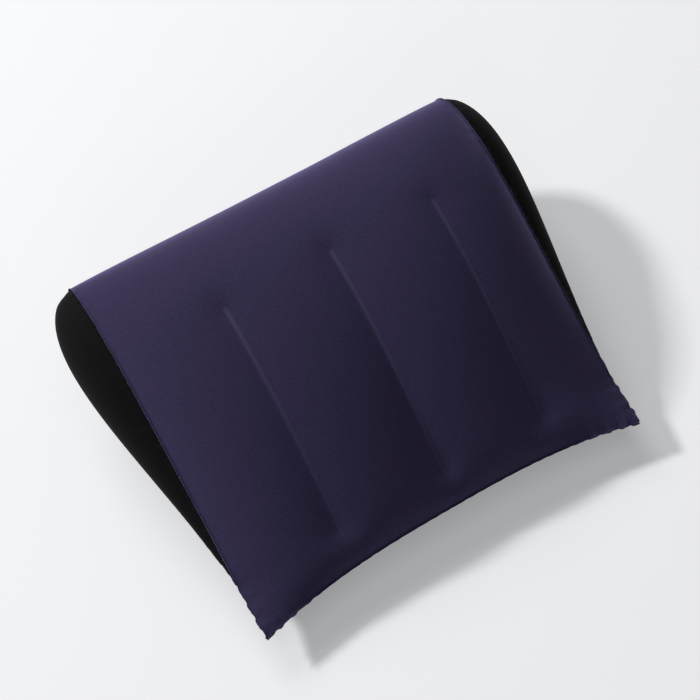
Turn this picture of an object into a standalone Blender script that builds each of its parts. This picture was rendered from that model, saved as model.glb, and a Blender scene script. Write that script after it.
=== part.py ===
"""Camp pillow: an inflatable wedge pillow of welded film, lying on its underside.

X runs across the pillow, -Y is the thin welded front, +Y the thick back ridge, Z is up.
The air bag is drawn in its own level frame (mid-plane at z = 0) and then laid on the ground.
"""
from math import asin, cos, pi, radians, sin, sqrt

import bmesh
import bpy
from mathutils import Matrix, Vector
from mathutils.bvhtree import BVHTree

# Overall shape of the inflated bag, in metres.
SPAN = 0.440                 # across the front corners, seam to seam
LENGTH = 0.402               # front corners to the back seam
HALF_THICK = 0.0974          # half the thickness at the middle of the span
SEAM_HALF_THICK = 0.0546     # half the gusset's height
FRONT_BOW = 0.0215           # how far the front edge is drawn in between its corners
FRONT_BOW_POWER = 2.8
RIDGE_BOW = -0.0020          # how far the back ridge stands out at mid-span; less than 0 is drawn in
NOSE_POWER = 1.05            # slope of the wedge's nose at the middle
SEAM_NOSE_POWER = 2.95       # the same along the gusset seams
SEAM_CLOSED = 0.07           # share of the length, from the front, where the side seam is shut
SEAM_RISE = 0.12             # share over which it opens to take the gusset
SHOULDER_POWER = 4.5         # how late the span rolls down towards the gussets
CORNER_FLARE = 0.007         # share of the half span that the corners stand out past the body
FLARE_REACH = 0.34           # share of the length over which the corner flares
GUSSET_BULGE = 0.040
REST_PITCH = radians(12.6)   # the bag tips forward onto its underside
REST_FLAT = 0.002            # how much of the underside's belly the ground flattens

# Film and welds.
FILM = 0.001
GAP = 0.0003                 # between faces that touch
SEAM_FLANGE = 0.004          # welded edge that stands out along each gusset
FRONT_FLANGE = 0.005         # flat welded edge along the front
BACK_LAP = 0.008             # the top panel's overlap on the bottom panel, at the back
JOGGLE = 0.004               # length over which the bottom panel steps in under the lap
LAP_CLEARANCE = 0.0008
FLANGE_LIFT_REACH = 0.5      # share of the length over which a flat flange turns upright
GUSSET_START = 0.0026        # seam half-height at which the gussets begin

# Webs: upright strips that tie the top to the bottom.
WEB_POSITIONS = {"web_left": -0.495, "web_centre": 0.05, "web_right": 0.59}
WEB_FRONT = 0.085            # share of the length at a web's front end
WEB_BACK = 0.72
WEB_TAB = 0.012
WEB_CLEARANCE = 0.0008

# Air valve, in its own frame: z = 0 on the bottom panel's film, +Z outwards.
VALVE_ACROSS = 0.3           # place on the bottom panel, as a share of the half span
VALVE_TURN = 0.30            # angle below the back seam
BORE_RADIUS = 0.0060
NECK_WALL = 0.0015
NECK_DEPTH = 0.008
BASE_RADIUS = 0.015
BASE_THICK = 0.0012
BASE_SEAT = 0.0004
STEM_WALL = 0.0022
STEM_LIP_RADIUS = 0.0078
STEM_LIP = 0.0015
STEM_TRAVEL = 0.012
STOP_RIDGE = 0.0010
PLUG_SHANK = 0.008
PLUG_HEAD = 0.0014
PLUG_HEAD_RADIUS = 0.0070
PLUG_HEAD_BEVEL = 0.0004
PLUG_TIP_BEVEL = 0.0009
FLAP_THICK = 0.0006
FLAP_MARGIN = 0.0006
STRAP_WIDTH = 0.0030
STRAP_THICK = 0.0010
STRAP_HANDLES = ((0.020, 0.016), (0.028, 0.0015))    # (radius, height) of the loop's handles

# Mesh fineness.
SPAN_STEPS = 24
TOP_STEPS = 26
BOTTOM_STEPS = 26
WEB_STEPS = 14
ROUND_STEPS = 32
GUSSET_RINGS = (0.95, 0.84, 0.68, 0.48, 0.26)
GUSSET_HUB = 0.62            # share of the length at which a gusset's faces meet
LAP_ROWS = 3
LAP_MARGIN = 3               # points at each end of a row that stay out of the back lap
BASE_RINGS = 3
STRAP_STEPS = 16
SHARP_ANGLE = radians(35)
PROBE_HEIGHT = 0.02          # where a probing ray starts, above the valve's z = 0
CUTTER_DEPTH = 0.01

PURPLE = (0.030, 0.025, 0.056)
CHARCOAL = (0.011, 0.011, 0.012)
SMOKE = (0.060, 0.060, 0.065)


def clear_scene():
    for old in list(bpy.data.objects):
        bpy.data.objects.remove(old, do_unlink=True)


def make_material(name, colour, roughness, metallic=0.0):
    material = bpy.data.materials.new(name)
    material.use_nodes = True
    shader = material.node_tree.nodes["Principled BSDF"]
    shader.inputs["Base Color"].default_value = (*colour, 1.0)
    shader.inputs["Roughness"].default_value = roughness
    shader.inputs["Metallic"].default_value = metallic
    return material


def add_object(name, verts, faces, material, parent, weld=False):
    mesh = bpy.data.meshes.new(name)
    mesh.from_pydata([tuple(v) for v in verts], [], faces)
    work = bmesh.new()
    work.from_mesh(mesh)
    if weld:
        bmesh.ops.remove_doubles(work, verts=work.verts, dist=1e-6)
    bmesh.ops.recalc_face_normals(work, faces=work.faces)
    work.to_mesh(mesh)
    work.free()
    mesh.shade_smooth()
    mesh.set_sharp_from_angle(angle=SHARP_ANGLE)
    mesh.materials.append(material)
    part = bpy.data.objects.new(name, mesh)
    bpy.context.collection.objects.link(part)
    part.parent = parent
    return part


def add_film_thickness(part):
    shell = part.modifiers.new("film", 'SOLIDIFY')
    shell.thickness = FILM
    shell.offset = 0.0


def smooth_step(value):
    value = min(max(value, 0.0), 1.0)
    return value * value * (3.0 - 2.0 * value)


# The bag's surface. u runs from -1 to 1 across the span; turn runs from 0 at the front
# seam over the top to pi at the back, and on to 2 pi along the underside.

def profile_peak(power):
    return max(sin(k * pi / 200) * sin(k * pi / 400) ** power for k in range(200))


NOSE_PEAK = profile_peak(NOSE_POWER)
SEAM_NOSE_PEAK = profile_peak(SEAM_NOSE_POWER)


def reach(turn):
    """Share of the length, from the front seam."""
    return (1.0 - cos(turn)) / 2.0


def turn_at(share):
    return 2.0 * asin(sqrt(share))


def wrap_point(u, turn):
    edge = abs(u) ** SHOULDER_POWER
    front = -LENGTH / 2 + FRONT_BOW * (1.0 - abs(u) ** FRONT_BOW_POWER)
    back = LENGTH / 2 + RIDGE_BOW * (1.0 - edge)
    share = reach(turn)
    middle = sin(turn) * abs(sin(turn / 2)) ** NOSE_POWER / NOSE_PEAK
    seam = sin(turn) * abs(sin(turn / 2)) ** SEAM_NOSE_POWER / SEAM_NOSE_PEAK
    seam *= smooth_step((share - SEAM_CLOSED) / SEAM_RISE)
    thick = HALF_THICK + (SEAM_HALF_THICK - HALF_THICK) * edge
    x = u * SPAN / 2 * (1.0 - CORNER_FLARE * smooth_step(share / FLARE_REACH))
    y = front + (back - front) * share
    z = thick * (middle * (1.0 - edge) + seam * edge)
    return Vector((x, y, z))


def wrap_normal(u, turn):
    step = 1e-4
    along = wrap_point(u, turn + step) - wrap_point(u, turn - step)
    across = wrap_point(u + step, turn) - wrap_point(u - step, turn)
    return across.cross(along).normalized()


def seam_outward(turn):
    """Outward direction of the gusset seam's outline, in the upright plane."""
    step = 1e-3
    first = wrap_point(1.0, max(turn - step, 0.0))
    last = wrap_point(1.0, min(turn + step, 2 * pi))
    along = last - first
    return Vector((0.0, -along.z, along.y)).normalized()


def flange_frame(side, turn):
    """Direction a seam flange stands in, and the direction across it towards the panel."""
    outward = seam_outward(turn)
    lift = smooth_step(reach(turn) / FLANGE_LIFT_REACH)
    away = (Vector((side, 0, 0)) + outward * lift).normalized()
    across = (outward - Vector((side, 0, 0)) * lift).normalized()
    return away, across


# From the bag's level frame to the ground.

def pitched(point):
    return Matrix.Rotation(REST_PITCH, 3, 'X') @ Vector(point)


def rest_height():
    lowest = min(pitched(wrap_point(0.0, pi + k * pi / 400)).z for k in range(400))
    return FILM - REST_FLAT - lowest


LIFT = rest_height()


def laid(point):
    """A film point on the pillow as it lies, with the belly flattened by the ground."""
    placed = pitched(point)
    placed.z = max(placed.z + LIFT, FILM / 2)
    return placed


def panel_row(turn, upper):
    """One row of a panel's film points: flange edge, seam, across the span, seam, flange edge."""
    half_pair = (FILM + GAP) / 2
    level = Vector((0, 0, half_pair if upper else -half_pair))
    row = []
    for side in (-1, 1):
        seam = wrap_point(side, turn)
        away, across = flange_frame(side, turn)
        at_seam = seam + across * half_pair
        row.append([laid(at_seam + away * SEAM_FLANGE), laid(at_seam)])
    inner = []
    for k in range(1, SPAN_STEPS):
        u = sin(-pi / 2 + pi * k / SPAN_STEPS)
        inner.append(laid(wrap_point(u, turn) + level))
    return row[0] + inner + row[1][::-1]


def stitch(rows):
    """Quads between neighbouring rows of point numbers."""
    faces = []
    for lower, upper in zip(rows, rows[1:]):
        for k in range(len(lower) - 1):
            faces.append((lower[k], lower[k + 1], upper[k + 1], upper[k]))
    return faces


def number_rows(rows):
    verts = []
    numbers = []
    for row in rows:
        numbers.append(list(range(len(verts), len(verts) + len(row))))
        verts.extend(row)
    return verts, numbers


def front_flange_row(first_row):
    forward = pitched((0, -FRONT_FLANGE, 0))
    return [point + forward for point in first_row]


def top_turns():
    return [pi * k / TOP_STEPS for k in range(TOP_STEPS + 1)]


def bottom_turns():
    sweep = pi - back_arc_turn(JOGGLE)
    return [2 * pi - sweep * k / BOTTOM_STEPS for k in range(BOTTOM_STEPS + 1)]


def build_top_panel(material, root):
    rows = [panel_row(turn, True) for turn in top_turns()]
    rows.insert(0, front_flange_row(rows[0]))
    verts, numbers = number_rows(rows)
    panel = add_object("top_panel", verts, stitch(numbers), material, root)
    add_film_thickness(panel)
    return panel


def back_arc_turn(distance):
    """Turn angle that covers a distance along the film, next to the back seam."""
    step = 0.01
    speed = (wrap_point(0.0, pi + step) - wrap_point(0.0, pi)).length / step
    return distance / speed


def build_bottom_panel(material, root):
    rows = [panel_row(turn, False) for turn in bottom_turns()]
    rows.insert(0, front_flange_row(rows[0]))
    for k in range(LAP_ROWS):
        turn = pi - back_arc_turn(BACK_LAP) * k / (LAP_ROWS - 1)
        tucked = panel_row(turn, False)
        for i in range(LAP_MARGIN, len(tucked) - LAP_MARGIN):
            u = sin(-pi / 2 + pi * (i - 1) / SPAN_STEPS)
            inset = wrap_point(u, turn) - wrap_normal(u, turn) * (FILM + LAP_CLEARANCE)
            tucked[i] = laid(inset)
        rows.append(tucked[LAP_MARGIN:-LAP_MARGIN])
    verts, numbers = number_rows(rows)
    faces = stitch(numbers[:-LAP_ROWS])
    joined = numbers[-LAP_ROWS - 1][LAP_MARGIN:-LAP_MARGIN]
    faces += stitch([joined, *numbers[-LAP_ROWS:]])
    panel = add_object("bottom_panel", verts, faces, material, root)
    add_film_thickness(panel)
    return panel


def gusset_turns():
    """The panels' own rows, where the seam is high enough for a gusset."""
    turns = top_turns() + bottom_turns()[::-1]
    return [turn for turn in turns if abs(wrap_point(1.0, turn).z) > GUSSET_START
            or reach(turn) > 0.5]


def gusset_swell(y, z, half_height):
    return GUSSET_BULGE * half_height / SEAM_HALF_THICK * (1.0 - (z / half_height) ** 2)


def build_gusset(name, side, material, root):
    turns = gusset_turns()
    half_pair = (FILM + GAP) / 2
    flange, edge = [], []
    for turn in turns:
        away, across = flange_frame(side, turn)
        at_seam = wrap_point(side, turn) - across * half_pair
        flange.append(laid(at_seam + away * SEAM_FLANGE))
        edge.append(laid(at_seam))
    front = wrap_point(side, 0.0).y
    back = wrap_point(side, pi).y
    middle = front + GUSSET_HUB * (back - front)
    rows = [flange, edge]
    for ring in GUSSET_RINGS:
        rows.append([gusset_point(side, turn, ring, middle, front, back) for turn in turns])
    centre = gusset_point(side, pi / 2, 0.0, middle, front, back)
    verts, numbers = number_rows(rows)
    for row in numbers[1:]:
        row.append(row[0])
    faces = stitch([numbers[0], numbers[1][:-1]]) + stitch(numbers[1:])
    verts.append(centre)
    hub = len(verts) - 1
    inner = numbers[-1]
    faces += [(inner[k], inner[k + 1], hub) for k in range(len(inner) - 1)]
    gusset = add_object(name, verts, faces, material, root)
    add_film_thickness(gusset)
    return gusset


def gusset_point(side, turn, ring, middle, front, back):
    seam = wrap_point(side, turn)
    y = middle + (seam.y - middle) * ring
    z = seam.z * ring
    own_turn = turn_at((y - front) / (back - front))
    at_side = wrap_point(side, own_turn)
    half_height = max(at_side.z, 1e-4)
    swell = gusset_swell(y, z, half_height)
    return laid((at_side.x + side * swell, y, z))


def build_web(name, u, material, root):
    """A strip with a weld tab along each edge, drawn as one upright I section."""
    rows = []
    inset = FILM / 2 + WEB_CLEARANCE
    tab_u = WEB_TAB / 2 / (SPAN / 2 * (1 - CORNER_FLARE))
    film_u = tab_u * FILM / WEB_TAB
    for k in range(WEB_STEPS + 1):
        turn = turn_at(WEB_FRONT + (WEB_BACK - WEB_FRONT) * k / WEB_STEPS)
        upper, lower = [], []
        for across in (-tab_u, -film_u, film_u, tab_u):
            upper.append(web_edge(u + across, turn, inset))
            lower.append(web_edge(u + across, 2 * pi - turn, inset))
        rows.append(i_section(upper, lower))
    verts, numbers = number_rows(rows)
    caps = [tuple(numbers[0]), tuple(numbers[-1])]
    for row in numbers:
        row.append(row[0])
    return add_object(name, verts, stitch(numbers) + caps, material, root)


def web_edge(u, turn, inset):
    """A point on a web's welded edge, just inside the panel it is welded to."""
    point = laid(wrap_point(u, turn) - wrap_normal(u, turn) * inset)
    point.z = max(point.z, FILM + WEB_CLEARANCE)
    return point


def i_section(upper, lower):
    """The outline of an I, from four points along its top edge and four along its bottom."""
    thick = Vector((0, 0, FILM))
    top = [upper[3], upper[3] - thick, upper[2] - thick]
    bottom = [lower[2] + thick, lower[3] + thick, lower[3]]
    far = [lower[0], lower[0] + thick, lower[1] + thick]
    return top + bottom + far + [upper[1] - thick, upper[0] - thick, upper[0]]


# The air valve.

def turned(name, profile, material, parent, closed=True):
    """A round piece: the profile's (radius, height) points swept round the Z axis."""
    verts, faces = [], []
    for k in range(ROUND_STEPS):
        angle = 2 * pi * k / ROUND_STEPS
        verts += [(r * cos(angle), r * sin(angle), z) for r, z in profile]
    count = len(profile)
    links = count if closed else count - 1
    for k in range(ROUND_STEPS):
        here, after = k * count, (k + 1) % ROUND_STEPS * count
        for i in range(links):
            j = (i + 1) % count
            faces.append((here + i, after + i, after + j, here + j))
    if closed:
        return add_object(name, verts, faces, material, parent)
    part = add_object(name, verts, faces, material, parent, weld=True)
    return drop_flat_faces(part)


def drop_flat_faces(part):
    work = bmesh.new()
    work.from_mesh(part.data)
    bmesh.ops.dissolve_degenerate(work, edges=work.edges, dist=1e-6)
    bmesh.ops.recalc_face_normals(work, faces=work.faces)
    work.to_mesh(part.data)
    work.free()
    return part


def valve_placement():
    turn = pi + VALVE_TURN
    spot = laid(wrap_point(VALVE_ACROSS, turn))
    outward = pitched(wrap_normal(VALVE_ACROSS, turn))
    across = Vector((1, 0, 0))
    up = outward.cross(across).normalized()
    across = up.cross(outward).normalized()
    return Matrix.Translation(spot) @ Matrix((across, up, outward)).transposed().to_4x4()


def film_height(film, placement, x, y):
    """How far the panel's film lies above the valve's own z = 0 at a point beside its axis."""
    origin = placement @ Vector((x, y, PROBE_HEIGHT))
    direction = -placement.col[2].to_3d()
    hit = film.ray_cast(origin, direction)
    return PROBE_HEIGHT - hit[3]


def build_valve_base(film, placement, material, valve):
    neck = BORE_RADIUS + NECK_WALL
    low = FILM / 2 + BASE_SEAT
    high = low + BASE_THICK
    step = (BASE_RADIUS - neck) / BASE_RINGS
    under = [(neck + step * k, low) for k in range(BASE_RINGS + 1)]
    over = [(r, high) for r, _ in reversed(under)]
    profile = [(BORE_RADIUS, high), (BORE_RADIUS, -NECK_DEPTH), (neck, -NECK_DEPTH)]
    profile += under + over
    base = turned("valve_base", profile, material, valve)
    for vert in base.data.vertices:
        radius = vert.co.xy.length
        if radius > neck - 1e-6 and vert.co.z > 0:
            vert.co.z += film_height(film, placement, vert.co.x, vert.co.y)
    return base


def build_valve_stem(material, mover):
    outer = BORE_RADIUS - GAP
    inner = BORE_RADIUS - GAP - STEM_WALL
    seat = stem_lip_bottom()
    top = seat + STEM_LIP
    low = stem_inner_end()
    ridge = outer + STOP_RIDGE
    ridge_top = low + STEM_LIP
    profile = [(inner, top), (inner, low), (ridge, low), (ridge, ridge_top), (outer, ridge_top),
               (outer, seat), (STEM_LIP_RADIUS, seat), (STEM_LIP_RADIUS, top)]
    return turned("valve_stem", profile, material, mover)


def stem_lip_bottom():
    return FILM / 2 + BASE_SEAT + BASE_THICK + 2 * GAP


def stem_inner_end():
    return -NECK_DEPTH - GAP - STEM_TRAVEL - STEM_LIP


def build_valve_plug(material, mover):
    shank = BORE_RADIUS - 2 * GAP - STEM_WALL
    seat = stem_lip_bottom() + STEM_LIP + GAP
    top = seat + PLUG_HEAD
    tip = seat - PLUG_SHANK
    profile = [(0, top), (PLUG_HEAD_RADIUS - PLUG_HEAD_BEVEL, top),
               (PLUG_HEAD_RADIUS, top - PLUG_HEAD_BEVEL), (PLUG_HEAD_RADIUS, seat),
               (shank, seat), (shank, tip + PLUG_TIP_BEVEL), (shank - PLUG_TIP_BEVEL, tip),
               (0, tip)]
    return turned("valve_plug", profile, material, mover, closed=False)


def build_valve_flap(material, hinge):
    """A disc that covers the stem's inner end, drawn about its hinge edge."""
    radius = BORE_RADIUS - GAP - FLAP_MARGIN
    profile = [(0, 0), (radius, 0), (radius, -FLAP_THICK), (0, -FLAP_THICK)]
    flap = turned("valve_flap", profile, material, hinge, closed=False)
    flap.location = (0, radius, 0)
    return flap


def bezier(points, share):
    while len(points) > 1:
        points = [a.lerp(b, share) for a, b in zip(points, points[1:])]
    return points[0]


def build_plug_strap(material, valve):
    """A flat strap that loops from the plug's head out and back to the base's rim."""
    start = Vector((PLUG_HEAD_RADIUS + GAP, stem_lip_bottom() + STEM_LIP + GAP + PLUG_HEAD / 2))
    end = Vector((BASE_RADIUS + GAP, FILM / 2 + BASE_SEAT + BASE_THICK / 2))
    handles = [start, *[Vector(handle) for handle in STRAP_HANDLES], end]
    route = [bezier(handles, k / STRAP_STEPS) for k in range(STRAP_STEPS + 1)]
    sections = []
    for k, point in enumerate(route):
        along = route[min(k + 1, STRAP_STEPS)] - route[max(k - 1, 0)]
        if k in (0, STRAP_STEPS):
            along = Vector((1 if k == 0 else -1, 0))
        normal = Vector((-along.y, along.x)).normalized() * STRAP_THICK / 2
        corners = [(point - normal, -1), (point + normal, -1), (point + normal, 1),
                   (point - normal, 1)]
        sections.append([(at.x, edge * STRAP_WIDTH / 2, at.y) for at, edge in corners])
    verts, numbers = number_rows(sections)
    caps = [tuple(numbers[0]), tuple(numbers[-1])]
    for row in numbers:
        row.append(row[0])
    return add_object("plug_strap", verts, stitch(numbers) + caps, material, valve)


def cut_valve_hole(panel, valve):
    radius = BORE_RADIUS + NECK_WALL + GAP
    profile = [(0, CUTTER_DEPTH), (radius, CUTTER_DEPTH), (radius, -CUTTER_DEPTH),
               (0, -CUTTER_DEPTH)]
    cutter = turned("valve_hole", profile, panel.data.materials[0], valve, closed=False)
    cutter.hide_render = True
    cutter.display_type = 'WIRE'
    hole = panel.modifiers.new("valve_hole", 'BOOLEAN')
    hole.operation = 'DIFFERENCE'
    hole.object = cutter


def add_empty(name, parent, matrix):
    empty = bpy.data.objects.new(name, None)
    bpy.context.collection.objects.link(empty)
    empty.parent = parent
    empty.matrix_local = matrix
    return empty


def film_tree(panel):
    mesh = panel.data
    return BVHTree.FromPolygons([v.co for v in mesh.vertices],
                                [tuple(p.vertices) for p in mesh.polygons])


def centre_on_origin(root, parts):
    """Stand the whole pillow over the origin, with its lowest point at z = 0."""
    bpy.context.view_layer.update()
    depsgraph = bpy.context.evaluated_depsgraph_get()
    points = []
    for part in parts:
        shape = part.evaluated_get(depsgraph)
        points += [shape.matrix_world @ vert.co for vert in shape.data.vertices]
    low = [min(point[axis] for point in points) for axis in range(3)]
    high = [max(point[axis] for point in points) for axis in range(3)]
    root.location = (-(low[0] + high[0]) / 2, -(low[1] + high[1]) / 2, -low[2])


def build():
    clear_scene()
    purple = make_material("flocked_film", PURPLE, 0.85)
    black = make_material("plain_film", CHARCOAL, 0.45)
    rubber = make_material("valve_vinyl", SMOKE, 0.4)
    root = add_empty("pillow", None, Matrix())
    top = build_top_panel(purple, root)
    bottom = build_bottom_panel(black, root)
    parts = [top, bottom]
    parts.append(build_gusset("left_gusset", -1, black, root))
    parts.append(build_gusset("right_gusset", 1, black, root))
    for name, u in WEB_POSITIONS.items():
        parts.append(build_web(name, u, black, root))
    placement = valve_placement()
    film = film_tree(bottom)
    valve = add_empty("valve", root, placement)
    stem_slide = add_empty("stem_slide", valve, Matrix())
    plug_slide = add_empty("plug_slide", stem_slide, Matrix())
    hinge_at = Matrix.Translation((0, -(BORE_RADIUS - GAP - FLAP_MARGIN), stem_inner_end() - GAP))
    flap_hinge = add_empty("flap_hinge", stem_slide, hinge_at)
    parts.append(build_valve_base(film, placement, rubber, valve))
    parts.append(build_valve_stem(rubber, stem_slide))
    parts.append(build_valve_flap(rubber, flap_hinge))
    parts.append(build_valve_plug(rubber, plug_slide))
    parts.append(build_plug_strap(rubber, valve))
    cut_valve_hole(bottom, valve)
    centre_on_origin(root, parts)


build()
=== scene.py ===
# %% [markdown]
# # An inflatable wedge pillow
# The pillow is a bag of welded vinyl film: a flocked purple top rolled over a thick back
# ridge, a black underside, and two black teardrop gussets. Inside, three upright webs tie the
# top to the underside. We cut the bag as one welded mesh, blow it up with the cloth solver,
# and then part it into its panels, so that every seam meets its neighbour exactly.

# %% Load the fixed frame
from math import asin, cos, pi, radians, sin, sqrt

import bmesh
import bpy
import numpy as np
from mathutils import Matrix, Vector, geometry


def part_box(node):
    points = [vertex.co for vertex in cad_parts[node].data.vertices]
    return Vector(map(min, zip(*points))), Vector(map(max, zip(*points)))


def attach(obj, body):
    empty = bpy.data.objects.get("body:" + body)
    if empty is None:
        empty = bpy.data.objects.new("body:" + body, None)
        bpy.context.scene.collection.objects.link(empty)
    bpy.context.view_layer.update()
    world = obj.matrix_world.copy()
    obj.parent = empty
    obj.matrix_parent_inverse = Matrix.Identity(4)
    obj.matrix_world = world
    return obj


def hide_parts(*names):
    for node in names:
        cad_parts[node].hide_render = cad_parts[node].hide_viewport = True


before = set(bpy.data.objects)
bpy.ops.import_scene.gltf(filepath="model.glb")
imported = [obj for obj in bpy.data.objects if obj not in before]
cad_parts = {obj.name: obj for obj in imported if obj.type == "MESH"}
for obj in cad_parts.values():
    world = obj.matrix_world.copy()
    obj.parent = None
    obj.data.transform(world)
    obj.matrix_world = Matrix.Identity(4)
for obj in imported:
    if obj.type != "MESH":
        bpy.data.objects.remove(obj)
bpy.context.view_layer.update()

# %% [markdown]
# ## The bag's form
# A pillow like this has no straight lines, but it follows a few plain rules: a thin nose, a
# round back, a span that rolls down at the gussets, and corners that flare a little. Each rule
# is one named number, so the form can be tuned like a pattern. All lengths are in metres.

# %% Name the bag's dimensions
SEAM_FLANGE = 0.004
half_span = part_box("top_panel")[1][0] - SEAM_FLANGE
LENGTH = 0.402
HALF_THICK = 0.0974
SEAM_HALF_THICK = 0.0546
FRONT_BOW = 0.0215
FRONT_BOW_POWER = 2.8
RIDGE_BOW = -0.0020
NOSE_POWER = 1.05
SEAM_NOSE_POWER = 2.95
SEAM_CLOSED = 0.07
SEAM_RISE = 0.12
SHOULDER_POWER = 4.5
CORNER_FLARE = 0.007
FLARE_REACH = 0.34
GUSSET_BULGE = 0.040
REST_PITCH = radians(12.6)
WEB_PLACES = {"web_left": -0.495, "web_centre": 0.05, "web_right": 0.59}
WEB_FRONT = 0.085
WEB_BACK = 0.72
QUILT = 0.0055
film_centre = Vector((0.0, -0.001277, 0.083635))


def smooth_step(value):
    value = np.clip(value, 0.0, 1.0)
    return value * value * (3.0 - 2.0 * value)


def nose_curve(turn, power):
    """Thickness along a section, from 0 at the front seam to its peak at 1."""
    sweep = np.linspace(0, pi, 400)
    peak = (np.sin(sweep) * np.sin(sweep / 2) ** power).max()
    return np.sin(turn) * np.abs(np.sin(turn / 2)) ** power / peak


def quilting(u, share):
    """How much the webs draw the film in: 1 on a web, 0 midway between webs and past their ends."""
    places = np.array([-1.25, *WEB_PLACES.values(), 1.25])
    gap = np.abs(u[..., None] - places).min(axis=-1)
    near = (1.0 - np.clip(gap / 0.26, 0, 1)) ** 2
    along = smooth_step((share - WEB_FRONT + 0.04) / 0.06) * smooth_step((WEB_BACK + 0.06 - share) / 0.08)
    return near * along


def bag_point(u, turn):
    """Points of the bag's skin. u is -1 to 1 across; turn is 0 at the front, pi at the back."""
    u, turn = np.broadcast_arrays(np.asarray(u, float), np.asarray(turn, float))
    edge = np.abs(u) ** SHOULDER_POWER
    share = (1.0 - np.cos(turn)) / 2.0
    front = -LENGTH / 2 + FRONT_BOW * (1.0 - np.abs(u) ** FRONT_BOW_POWER)
    back = LENGTH / 2 + RIDGE_BOW * (1.0 - edge)
    seam = nose_curve(turn, SEAM_NOSE_POWER) * smooth_step((share - SEAM_CLOSED) / SEAM_RISE)
    thick = HALF_THICK + (SEAM_HALF_THICK - HALF_THICK) * edge
    z = thick * (nose_curve(turn, NOSE_POWER) * (1.0 - edge) + seam * edge)
    z = z + np.sign(z) * QUILT * (1.0 - edge) * (0.5 - quilting(u, share)) * smooth_step(np.abs(z) / 0.02)
    x = u * half_span * (1.0 - CORNER_FLARE * smooth_step(share / FLARE_REACH))
    return np.stack([x, front + (back - front) * share, z], axis=-1)


def laid(points):
    """From the bag's level frame to the pillow as it lies, tipped forward onto its underside."""
    c, s = cos(REST_PITCH), sin(REST_PITCH)
    turned = np.array(points, float)
    y, z = turned[..., 1].copy(), turned[..., 2].copy()
    turned[..., 1], turned[..., 2] = c * y - s * z, s * y + c * z
    return turned + np.array(film_centre)


print("bag about", round(half_span * 2, 3), "m across and", LENGTH, "m deep")

# %% [markdown]
# ## The welded bag
# The film wraps once round the bag, from the front seam over the back and home along the
# underside, so the wrap is a grid. Even spacing along the film matters: cloth stretches by the
# same rule everywhere only where its threads have one length. The gussets are irregular, so a
# Delaunay fill of evenly spread points suits them better than a grid.

# %% Space the threads evenly along the film
THREAD = 0.0064


def even_turns(count):
    """Turn angles whose points lie evenly along the skin at mid-span, both ends included."""
    fine = np.linspace(0, 2 * pi, 4001)
    path = bag_point(np.full_like(fine, 0.3), fine)
    walked = np.concatenate([[0], np.cumsum(np.linalg.norm(np.diff(path, axis=0), axis=1))])
    return np.interp(np.linspace(0, walked[-1], count + 1), walked, fine), walked[-1]


def even_across(per_bay):
    """u values with the same number of threads in each bay between webs and gussets."""
    knots = [-1.0, *WEB_PLACES.values(), 1.0]
    fine = np.linspace(-1, 1, 2001)
    path = bag_point(fine, np.full_like(fine, 1.9))
    walked = np.concatenate([[0], np.cumsum(np.linalg.norm(np.diff(path, axis=0), axis=1))])
    marks = np.interp(knots, fine, walked)
    spots = [np.linspace(a, b, per_bay + 1)[:-1] for a, b in zip(marks, marks[1:])]
    return np.interp(np.concatenate([*spots, [marks[-1]]]), walked, fine)


film_length = even_turns(10)[1]
row_count = 2 * round(film_length / THREAD / 2)
turns = even_turns(row_count)[0]
bay_threads = round(0.116 / THREAD)
spans = even_across(bay_threads)
print("film wraps", round(film_length, 3), "m:", row_count, "rows of", len(spans), "threads")

# %% Cut the wrap, the gussets and the webs as one welded mesh
SKIN, LEFT, RIGHT, WEB = 0, 1, 2, 3
verts, faces, kinds = [], [], []
wrap = laid(bag_point(spans[None, :], turns[:, None]))
col_count = len(spans) - 1
number = np.zeros((row_count + 1, col_count + 1), int)
SHUT_HEIGHT = 0.0022
closed_rows = int(np.argmax(bag_point(1.0, turns)[:, 2] > SHUT_HEIGHT))
for i in range(row_count + 1):
    for j in range(col_count + 1):
        mirror = row_count - i
        if i == row_count or (j in (0, col_count) and mirror <= closed_rows and i > mirror):
            number[i, j] = number[mirror, j]
            continue
        number[i, j] = len(verts)
        spot = wrap[i, j]
        if j in (0, col_count) and i <= closed_rows:
            spot = (wrap[i, j] + wrap[mirror, j]) / 2
        verts.append(spot)
for i in range(row_count):
    for j in range(col_count):
        faces.append((number[i, j], number[i, j + 1], number[i + 1, j + 1], number[i + 1, j]))
        kinds.append(SKIN)


def gusset_fill(outline):
    """Evenly spread points and triangles inside a closed outline of (y, z) points."""
    low, high = outline.min(axis=0), outline.max(axis=0)
    inside = []
    rows = int((high[1] - low[1]) / (THREAD * 0.87))
    for row in range(rows + 1):
        z = low[1] + row * THREAD * 0.87
        for y in np.arange(low[0] + (row % 2) * THREAD / 2, high[0], THREAD):
            spot = np.array([y, z])
            ahead = np.roll(outline, -1, axis=0)
            crosses = (outline[:, 1] > z) != (ahead[:, 1] > z)
            at = outline[:, 0] + (z - outline[:, 1]) * (ahead[:, 0] - outline[:, 0]) / np.where(
                ahead[:, 1] == outline[:, 1], 1e9, ahead[:, 1] - outline[:, 1])
            within = (crosses & (y < at)).sum() % 2 == 1
            if within and np.linalg.norm(outline - spot, axis=1).min() > THREAD * 0.6:
                inside.append(Vector(spot))
    count = len(outline)
    loop = [(k, (k + 1) % count) for k in range(count)]
    points = [Vector(p) for p in outline] + inside
    spots, _, triangles, *_ = geometry.delaunay_2d_cdt(points, loop, [], 1, 1e-7)
    return [tuple(p) for p in spots], triangles


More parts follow.
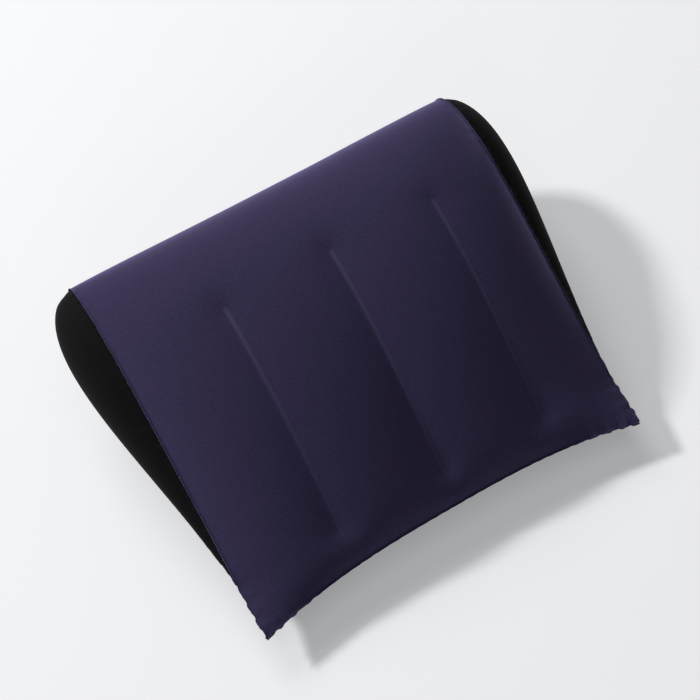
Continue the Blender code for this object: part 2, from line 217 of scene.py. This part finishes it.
def add_gusset(column, kind):
    side = -1 if column == 0 else 1
    ring_rows = range(closed_rows, row_count - closed_rows)
    outline = bag_point(side, turns[list(ring_rows)])[:, 1:]
    outline[0, 1] = 0.0
    spots, triangles = gusset_fill(outline)
    front, back = -LENGTH / 2, LENGTH / 2
    index = []
    for k, (y, z) in enumerate(spots):
        if k < len(outline):
            index.append(number[ring_rows[k], column])
            continue
        turn = 2 * asin(sqrt(min(max((y - front) / (back - front), 0.0), 1.0)))
        rim = bag_point(side, turn)
        tall = max(float(rim[2]), 1e-4)
        swell = GUSSET_BULGE * tall / SEAM_HALF_THICK * max(1 - (z / tall) ** 2, 0.0)
        index.append(len(verts))
        verts.append(laid([float(rim[0]) + side * swell, y, z]))
    for triangle in triangles:
        ordered = triangle if side > 0 else triangle[::-1]
        faces.append(tuple(index[k] for k in ordered))
        kinds.append(kind)


add_gusset(0, LEFT)
add_gusset(col_count, RIGHT)
print("gussets filled:", kinds.count(LEFT), "and", kinds.count(RIGHT), "triangles")

# %% Hang the webs between the top and the underside
WEB_THREADS = 12
shares = (1 - np.cos(turns)) / 2
half = row_count // 2
web_rows = [i for i in range(half) if WEB_FRONT <= shares[i] <= WEB_BACK]
web_inner = set()
web_grids = {}
for step, name in enumerate(WEB_PLACES):
    column = (step + 1) * bay_threads
    grid = []
    for i in web_rows:
        top, low = number[i, column], number[row_count - i, column]
        line = [top]
        for k in range(1, WEB_THREADS):
            line.append(len(verts))
            web_inner.add(len(verts))
            verts.append(verts[top] + (verts[low] - verts[top]) * k / WEB_THREADS)
        grid.append(line + [low])
    for a, b in zip(grid, grid[1:]):
        for k in range(WEB_THREADS):
            faces.append((a[k], b[k], b[k + 1], a[k + 1]))
            kinds.append(WEB + step)
    web_grids[name] = grid
start = np.array([tuple(v) for v in verts], float)
kinds = np.array(kinds)
print("cut", len(verts), "points and", len(faces), "faces")

# %% [markdown]
# ## Blow it up
# A real bag is cut flat and blown up. Blender's cloth has pressure, which crowns the film
# between the seams, while the webs hold it down along their lines. The webs must not be pushed
# by the pressure, because there is air on both of their sides, so they stay out of the pressure
# group. The seams are pinned: a weld is two films thick, stiffer than the film beside it, and
# keeps the outline. The film round the valve is pinned, because the valve's flange holds it.

# %% Sort the film into pressed and held points
VALVE_HOLD = 0.022
base_low, base_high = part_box("valve_base")
valve_spot = np.array([(a + b) / 2 for a, b in zip(base_low, base_high)])
to_valve = np.linalg.norm(start - valve_spot, axis=1)
seam_points = {int(number[i, column]) for column in (0, col_count) for i in range(row_count + 1)}
seam_points |= {int(number[0, j]) for j in range(col_count + 1)}
held = sorted(seam_points | {int(k) for k in np.nonzero(to_valve < VALVE_HOLD)[0]})
print(len(held), "held points,", len(web_inner), "web points")


def inflate(points):
    """The bag's points after the cloth solver has blown it up."""
    mesh = bpy.data.meshes.new("welded_bag")
    mesh.from_pydata([tuple(p) for p in points], [], faces)
    bag = bpy.data.objects.new("welded_bag", mesh)
    bpy.context.scene.collection.objects.link(bag)
    pressed = bag.vertex_groups.new(name="pressed")
    pressed.add([k for k in range(len(points)) if k not in web_inner], 1.0, 'REPLACE')
    pinned = bag.vertex_groups.new(name="pinned")
    pinned.add([int(k) for k in held], 1.0, 'REPLACE')
    cloth = bag.modifiers.new("blow_up", 'CLOTH')
    film = cloth.settings
    film.quality = 8
    film.mass = 0.002
    film.air_damping = 1.0
    film.tension_stiffness = 25.0
    film.compression_stiffness = 5.0
    film.shear_stiffness = 6.0
    film.bending_stiffness = 0.05
    film.tension_damping = 5.0
    film.compression_damping = 5.0
    film.shear_damping = 5.0
    film.use_pressure = True
    film.uniform_pressure_force = 420.0
    film.vertex_group_pressure = "pressed"
    film.vertex_group_mass = "pinned"
    film.effector_weights.gravity = 0.0
    cloth.collision_settings.use_collision = False
    cloth.collision_settings.use_self_collision = False
    frames = 22
    cloth.point_cache.frame_start = 1
    cloth.point_cache.frame_end = frames
    scene = bpy.context.scene
    scene.frame_start, scene.frame_end = 1, frames
    for now in range(1, frames + 1):
        scene.frame_set(now)
    shown = bag.evaluated_get(bpy.context.evaluated_depsgraph_get())
    blown = np.array([tuple(v.co) for v in shown.data.vertices])
    bpy.data.objects.remove(bag, do_unlink=True)
    scene.frame_set(1)
    return blown


CAP = 0.008
blown = start.copy()
blown = inflate(start)
moved = blown - start
far = np.linalg.norm(moved, axis=1, keepdims=True)
blown = start + moved * np.minimum(1.0, CAP / np.maximum(far, 1e-9))
print("film moved", round(float(far.mean()) * 1000, 1), "mm on average before the cap of", CAP * 1000)

# %% [markdown]
# The ground flattens the belly of the underside. A hard clamp would leave a crease, so points
# near the ground are eased onto it.

# %% Rest the belly on the ground
FILM = 0.0006


def eased_onto(height, floor, softness=0.002):
    above = height - floor
    return floor + np.where(above > softness, above, np.where(
        above < -softness, 0.0, (above + softness) ** 2 / (4 * softness)))


blown[:, 2] = eased_onto(blown[:, 2], FILM)
print("lowest film point", round(float(blown[:, 2].min()) * 1000, 2), "mm")

# %% [markdown]
# ## Part the bag into its panels
# Each panel becomes an object of its own and keeps its share of the blown-up points. A weld
# stands out from each seam as a narrow double edge of film, so each panel also grows a ribbon
# along its rim. Both panels of a seam use the same ribbon line and lie on either side of it.

# %% Find the skin's outward normals
skin_mesh = bpy.data.meshes.new("skin_probe")
skin_mesh.from_pydata([tuple(p) for p in blown], [], [f for f, k in zip(faces, kinds) if k < WEB])
skin_mesh.update()
outward = np.array([tuple(v.normal) for v in skin_mesh.vertices])
middle = blown[:len(start)].mean(axis=0)
lean = ((blown - middle) * outward).sum(axis=1)
print("normals point out on", round(100 * float((lean > 0).mean())), "% of points")

# %% Lay the weld ribbons along the seams
SIDE_WELD = 0.0020
FRONT_WELD = 0.0022


def unit(vector):
    return vector / np.linalg.norm(vector)


def weld_direction(column, i):
    """Where the side weld points at a row: level at the front, straight out of the fold behind."""
    side = -1.0 if column == 0 else 1.0
    lift = 0.0
    if 0 < i < row_count:
        lift = float(smooth_step(shares[i] / 0.4))
    return unit(np.array([side, 0.0, 0.0]) + outward[number[i, column]] * lift)


front_forward = laid(np.array([0.0, -1.0, 0.0])) - laid(np.zeros(3))


def side_ribbon(column, rows):
    inner = [number[i, column] for i in rows]
    outer = [blown[number[i, column]] + weld_direction(column, i) * SIDE_WELD for i in rows]
    return inner, outer


def front_ribbon(row):
    """The front weld, carried round both corners, where its ends make two small tabs."""
    inner = [number[row, j] for j in range(col_count + 1)]
    outer = [blown[v] + front_forward * FRONT_WELD for v in inner]
    for end, column in ((0, 0), (-1, col_count)):
        outer[end] = outer[end] + weld_direction(column, row) * SIDE_WELD
    return inner, outer


print("side weld", SIDE_WELD * 1000, "mm and front weld", FRONT_WELD * 1000, "mm wide")

# %% Build one panel as a creased, subdivided sheet
CREASE = 1.0


def face_outwards(work):
    """All faces turned the same way, away from the bag's middle."""
    bmesh.ops.recalc_face_normals(work, faces=work.faces)
    heart = Vector(middle)
    facing = sum(f.normal.dot(f.calc_center_median() - heart) * f.calc_area() for f in work.faces)
    if facing < 0:
        bmesh.ops.reverse_faces(work, faces=work.faces)


def panel_mesh(name, chosen, ribbons, marks=None):
    """A panel from its faces and ribbons. Seams are creased, and marked points carry a weld line and its
    painted highlight.
    """
    used = sorted({v for f in chosen for v in f})
    place = {v: k for k, v in enumerate(used)}
    points = [blown[v] for v in used]
    built = [tuple(place[v] for v in f) for f in chosen]
    seams = set()
    for inner, outer in ribbons:
        first = len(points)
        points += outer
        for k in range(len(inner) - 1):
            near, far = place[inner[k]], place[inner[k + 1]]
            built.append((near, far, first + k + 1, first + k))
            seams.add(frozenset((near, far)))
    mesh = bpy.data.meshes.new(name)
    mesh.from_pydata([tuple(p) for p in points], [], built)
    work = bmesh.new()
    work.from_mesh(mesh)
    face_outwards(work)
    crease = work.edges.layers.float.new("crease_edge")
    for edge in work.edges:
        if frozenset(v.index for v in edge.verts) in seams:
            edge[crease] = CREASE
    weld_tone_and_highlight = work.verts.layers.float.new("weld_tone_and_highlight")
    work.verts.ensure_lookup_table()
    for v, strength in (marks or {}).items():
        work.verts[place[v]][weld_tone_and_highlight] = strength
    work.to_mesh(mesh)
    work.free()
    panel = bpy.data.objects.new(name, mesh)
    bpy.context.scene.collection.objects.link(panel)
    return refined(panel)


def refined(panel):
    """Subdivides the panel once and keeps the result as its mesh."""
    smooth = panel.modifiers.new("smooth", 'SUBSURF')
    smooth.levels = 1
    smooth.render_levels = 1
    shown = panel.evaluated_get(bpy.context.evaluated_depsgraph_get())
    fine = bpy.data.meshes.new_from_object(shown)
    panel.modifiers.clear()
    panel.data = fine
    fine.shade_smooth()
    return panel


# %% Part the bag
top_rows = list(range(0, half + 1))
low_rows = list(range(half, row_count + 1))
top_faces = [faces[k] for k in range(half * col_count)]
low_faces = [faces[k] for k in range(half * col_count, row_count * col_count)]
VALVE_HOLE = 0.012
low_faces = [f for f in low_faces if any(to_valve[v] >= VALVE_HOLE for v in f)]
# Each web's weld line is partly the pressed flock's own lighter tone and partly a painted highlight along
# its crease, which fades from the lit back end towards the shaded front.
WELD_HIGHLIGHT_FADE = 0.55
WEB_TAIL = 0.012
weld_tone_and_highlight_marks = {}
marked_rows = [i for i in range(half) if WEB_FRONT - WEB_TAIL <= shares[i] <= WEB_BACK]
for step in range(len(WEB_PLACES)):
    for i in marked_rows:
        strength = WELD_HIGHLIGHT_FADE + (1 - WELD_HIGHLIGHT_FADE) * shares[i] / WEB_BACK
        weld_tone_and_highlight_marks[int(number[i, (step + 1) * bay_threads])] = float(strength)
top_ribbons = [side_ribbon(0, top_rows), side_ribbon(col_count, top_rows), front_ribbon(0)]
low_ribbons = [side_ribbon(0, low_rows), side_ribbon(col_count, low_rows), front_ribbon(row_count)]
pieces = {
    "top": panel_mesh("flocked_top", top_faces, top_ribbons, weld_tone_and_highlight_marks),
    "low": panel_mesh("underside", low_faces, low_ribbons),
}
gusset_rows = list(range(closed_rows, row_count - closed_rows + 1))
for name, column, kind in (("gusset_left", 0, LEFT), ("gusset_right", col_count, RIGHT)):
    chosen = [f for f, k in zip(faces, kinds) if k == kind]
    pieces[name] = panel_mesh(name, chosen, [side_ribbon(column, gusset_rows)])
for step, name in enumerate(web_grids):
    chosen = [f for f, k in zip(faces, kinds) if k == WEB + step]
    pieces[name] = panel_mesh(name + "_strip", chosen, [])
print("parted into", len(pieces), "panels")

# %% [markdown]
# Near the front corners two stiff welds meet, and the film between them cannot lie flat: it
# gathers into a row of small scallops that fade away from the corner. The threads are too
# coarse for waves this small, so they are pressed into the subdivided panels. Both panels of a
# seam read the same wave from the same seam line, so they stay together.

# %% Gather the film along the seams
PUCKER = 0.0012
PUCKER_PITCH = 0.0155
PUCKER_REACH = 0.055
PUCKER_DEPTH = 0.011
REST_SHARE = 0.16


def seam_line(vertices, directions):
    """A seam's points, their distance along it from its front corner, and where its weld points."""
    spots = blown[vertices]
    walked = np.concatenate([[0], np.cumsum(np.linalg.norm(np.diff(spots, axis=0), axis=1))])
    return spots, walked, np.array(directions)


def joined(lines):
    return [np.concatenate(column) for column in zip(*lines)]


def side_seam(column):
    upper, lower = range(0, half + 1), range(row_count, half, -1)
    return joined([seam_line([number[i, column] for i in rows],
                             [weld_direction(column, i) for i in rows]) for rows in (upper, lower)])


def front_seam():
    middle_column = col_count // 2
    left, right = range(0, middle_column + 1), range(col_count, middle_column, -1)
    return joined([seam_line([number[0, j] for j in columns],
                             [front_forward for _ in columns]) for columns in (left, right)])


def gathered(points, seam, phase):
    """How far the puckers along one seam move each point."""
    spots, walked, directions = seam
    away = np.linalg.norm(points[:, None, :] - spots[None, :, :], axis=2)
    nearest = away.argmin(axis=1)
    gap, along = away.min(axis=1), walked[nearest]
    size = PUCKER * (REST_SHARE + (1 - REST_SHARE) * np.exp(-(along / PUCKER_REACH) ** 2))
    beat = 2 * pi * along / PUCKER_PITCH + 0.9 * np.sin(along * 60.0 + phase) + phase
    size = size * np.exp(-gap / PUCKER_DEPTH)
    lift = np.stack([0 * along, 0 * along, np.cos(beat)], axis=1)
    return size[:, None] * (directions[nearest] * np.sin(beat)[:, None] + 0.7 * lift)


side_seams = {0: side_seam(0), col_count: side_seam(col_count)}
nose_seam = front_seam()
for key in ("top", "low", "gusset_left", "gusset_right"):
    mesh = pieces[key].data
    flat = np.empty(len(mesh.vertices) * 3)
    mesh.vertices.foreach_get("co", flat)
    points = flat.reshape(-1, 3)
    shift = gathered(points, nose_seam, 0.4)
    for column, seam in side_seams.items():
        shift = shift + gathered(points, seam, 1.3 + column)
    points = points + shift
    points[:, 2] = np.maximum(points[:, 2], FILM)
    mesh.vertices.foreach_set("co", points.ravel())
    mesh.update()
print("gathered", len(side_seams) + 1, "seams")

# %% [markdown]
# The panels are single sheets so far. Solidify gives them the film's thickness, outwards, so
# two panels that share a seam line lie on either side of it and never fill one place.

# %% Give the film its thickness
for key, panel in pieces.items():
    shell = panel.modifiers.new("film", 'SOLIDIFY')
    shell.thickness = FILM
    shell.offset = 0.0 if key in WEB_PLACES else 1.0
    print(panel.name, len(panel.data.polygons), "faces")

# %% [markdown]
# ## Finishes
# Flock is a coat of short fibres: it scatters light, so it has no highlight but a soft glow
# where we look along it. Sheen gives that glow. A fine noise breaks up the colour and the
# surface, the way fibres lean in small patches. The black film is plain vinyl with a faint
# calendered grain.

# %% Mix the finishes


def new_finish(name, colour, roughness):
    finish = bpy.data.materials.new(name)
    finish.use_nodes = True
    shader = finish.node_tree.nodes["Principled BSDF"]
    shader.inputs["Base Color"].default_value = (*colour, 1.0)
    shader.inputs["Roughness"].default_value = roughness
    return finish, shader


def add_noise(finish, scale, detail=3.0, roughness=0.6):
    tree = finish.node_tree
    place = tree.nodes.new("ShaderNodeTexCoord")
    noise = tree.nodes.new("ShaderNodeTexNoise")
    noise.inputs["Scale"].default_value = scale
    noise.inputs["Detail"].default_value = detail
    noise.inputs["Roughness"].default_value = roughness
    tree.links.new(place.outputs["Object"], noise.inputs["Vector"])
    return noise


def tint_by(finish, noise, dark, light):
    """A colour that drifts between two tones with the noise."""
    ramp = finish.node_tree.nodes.new("ShaderNodeValToRGB")
    ramp.color_ramp.elements[0].position = 0.35
    ramp.color_ramp.elements[1].position = 0.65
    ramp.color_ramp.elements[0].color = (*dark, 1.0)
    ramp.color_ramp.elements[1].color = (*light, 1.0)
    finish.node_tree.links.new(noise.outputs["Fac"], ramp.inputs["Fac"])
    return ramp.outputs["Color"]


def bump_by(finish, shader, noise, strength, distance):
    bump = finish.node_tree.nodes.new("ShaderNodeBump")
    bump.inputs["Strength"].default_value = strength
    bump.inputs["Distance"].default_value = distance
    finish.node_tree.links.new(noise.outputs["Fac"], bump.inputs["Height"])
    finish.node_tree.links.new(bump.outputs["Normal"], shader.inputs["Normal"])


def weld_tone_and_highlight_mask(finish):
    """How much of a web's weld line and its painted highlight shows: most at the lit back end, nothing
    beside it.
    """
    tree = finish.node_tree
    mark = tree.nodes.new("ShaderNodeAttribute")
    mark.attribute_name = "weld_tone_and_highlight"
    edge = tree.nodes.new("ShaderNodeMapRange")
    edge.inputs["From Min"].default_value = 0.42
    edge.inputs["From Max"].default_value = 1.0
    tree.links.new(mark.outputs["Fac"], edge.inputs["Value"])
    return edge.outputs["Result"]


def flock_finish():
    finish, shader = new_finish("purple_flock", (0.020, 0.016, 0.034), 0.9)
    tree = finish.node_tree
    fibre_tips = (0.0560, 0.0450, 0.1080)
    fibre_roots = (0.0375, 0.0300, 0.0720)
    fibres = tint_by(finish, add_noise(finish, 900.0), fibre_roots, fibre_tips)
    # A lighter purple along each web weld: partly the weld's own tone, partly a painted highlight along
    # its crease.
    blend = tree.nodes.new("ShaderNodeMix")
    blend.data_type = 'RGBA'
    tree.links.new(weld_tone_and_highlight_mask(finish), blend.inputs["Factor"])
    tree.links.new(fibres, blend.inputs[6])
    blend.inputs[7].default_value = (0.078, 0.065, 0.134, 1.0)
    tree.links.new(blend.outputs[2], shader.inputs["Base Color"])
    bump_by(finish, shader, add_noise(finish, 1400.0), 0.25, 0.0003)
    shader.inputs["Sheen Weight"].default_value = 1.0
    shader.inputs["Sheen Roughness"].default_value = 0.32
    shader.inputs["Sheen Tint"].default_value = (0.62, 0.52, 1.0, 1.0)
    shader.inputs["Specular IOR Level"].default_value = 0.05
    return finish


def film_finish(name, colour, roughness, gloss):
    finish, shader = new_finish(name, colour, roughness)
    light = tuple(c * 1.25 for c in colour)
    tone = tint_by(finish, add_noise(finish, 300.0), colour, light)
    finish.node_tree.links.new(tone, shader.inputs["Base Color"])
    bump_by(finish, shader, add_noise(finish, 700.0), 0.15, 0.0002)
    shader.inputs["Specular IOR Level"].default_value = gloss
    return finish


purple_flock = flock_finish()
black_film = film_finish("black_film", (0.0052, 0.0050, 0.0058), 0.75, 0.06)
web_film = film_finish("web_film", (0.05, 0.05, 0.055), 0.5, 0.35)
valve_vinyl = film_finish("valve_vinyl", (0.035, 0.035, 0.038), 0.38, 0.4)
print("mixed", 4, "finishes")

# %% Dress each panel and tie it to the frame
dress = {
    "top": (purple_flock, "flocked_film", "top_panel"),
    "low": (black_film, "plain_film", "bottom_panel"),
    "gusset_left": (black_film, "plain_film", "left_gusset"),
    "gusset_right": (black_film, "plain_film", "right_gusset"),
    "web_left": (web_film, "plain_film", "web_left"),
    "web_centre": (web_film, "plain_film", "web_centre"),
    "web_right": (web_film, "plain_film", "web_right"),
}
for key, (finish, slot, node) in dress.items():
    panel = pieces[key]
    panel.data.materials.append(finish)
    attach(panel, "bag")
    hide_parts(node)
for name in ("valve_base", "valve_stem", "valve_flap", "valve_plug", "plug_strap"):
    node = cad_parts[name]
    node.data.materials.clear()
    node.data.materials.append(valve_vinyl)
print("dressed", len(dress), "panels and the valve")

# %% [markdown]
# ## Studio
# The floor is pale and glows a little, as a lit acrylic table does. Its glow softens the
# shadows without washing out the dark film. The key light stands behind the pillow on its
# left, with a wide window light beside it, and a dim room and two faint lamps fill the rest.
# The camera looks down steeply with a long lens.

# %% Set up the floor, the lights and the camera
FLOOR_LEVEL = -0.0005
FLOOR_GLOW = 0.28
ROOM_GLOW = 0.08
floor_mesh = bpy.data.meshes.new("studio_floor")
corners = [(x, y, FLOOR_LEVEL) for x, y in ((-6, -6), (6, -6), (6, 6), (-6, 6))]
floor_mesh.from_pydata(corners, [], [(0, 1, 2, 3)])
floor = bpy.data.objects.new("studio_floor", floor_mesh)
bpy.context.scene.collection.objects.link(floor)
floor_paint, floor_shader = new_finish("studio_floor_paint", (0.85, 0.85, 0.86), 0.9)
floor_shader.inputs["Specular IOR Level"].default_value = 0.1
floor_shader.inputs["Emission Color"].default_value = (0.96, 0.98, 1.0, 1.0)
floor_shader.inputs["Emission Strength"].default_value = FLOOR_GLOW
floor_mesh.materials.append(floor_paint)


def direction(azimuth, elevation):
    """Unit vector towards a light, from its compass angle and its height."""
    a, e = radians(azimuth), radians(elevation)
    return Vector((cos(a) * cos(e), sin(a) * cos(e), sin(e)))


def add_area_light(name, towards, distance, size, power):
    lamp = bpy.data.lights.new(name, 'AREA')
    lamp.energy = power
    lamp.size = size
    light = bpy.data.objects.new(name, lamp)
    bpy.context.scene.collection.objects.link(light)
    light.location = film_centre + towards * distance
    light.rotation_euler = towards.to_track_quat('Z', 'Y').to_euler()
    return light


add_area_light("key_light", direction(130.6, 39.7), 7.0, 0.82, 304.0)
add_area_light("window_light", direction(95.0, 45.0), 5.0, 2.2, 55.0)
add_area_light("ceiling_light", direction(200.0, 84.0), 5.0, 3.0, 17.5)
add_area_light("fill_light", direction(236.0, 35.0), 5.0, 0.8, 6.6)
world = bpy.data.worlds.new("studio_room")
world.use_nodes = True
world.node_tree.nodes["Background"].inputs["Color"].default_value = (0.95, 0.97, 1.0, 1.0)
world.node_tree.nodes["Background"].inputs["Strength"].default_value = ROOM_GLOW
bpy.context.scene.world = world
bpy.context.scene.view_settings.view_transform = 'Standard'

CAMERA_AZIMUTH = radians(30.30)
CAMERA_ELEVATION = radians(62.89)
CAMERA_ROLL = radians(-1.15)
CAMERA_DISTANCE = 1.82
FRAME_SCALE = 1.4013     # frame widths per metre at the pillow
ACROSS_OFFSET = -0.0058
UP_OFFSET = 0.0077
camera_data = bpy.data.cameras.new("catalogue_camera")
camera_data.lens = FRAME_SCALE * CAMERA_DISTANCE * camera_data.sensor_width
camera = bpy.data.objects.new("catalogue_camera", camera_data)
bpy.context.scene.collection.objects.link(camera)
back_to = Vector((-sin(CAMERA_AZIMUTH) * cos(CAMERA_ELEVATION),
                  -cos(CAMERA_AZIMUTH) * cos(CAMERA_ELEVATION), sin(CAMERA_ELEVATION)))
right = Vector((cos(CAMERA_AZIMUTH), -sin(CAMERA_AZIMUTH), 0))
up = back_to.cross(right)
right, up = (right * cos(CAMERA_ROLL) + up * sin(CAMERA_ROLL),
             up * cos(CAMERA_ROLL) - right * sin(CAMERA_ROLL))
stand = film_centre + back_to * CAMERA_DISTANCE + right * ACROSS_OFFSET + up * UP_OFFSET
camera.matrix_world = Matrix.Translation(stand) @ Matrix((right, up, back_to)).transposed().to_4x4()
bpy.context.scene.camera = camera
print("camera lens", round(camera_data.lens), "mm")
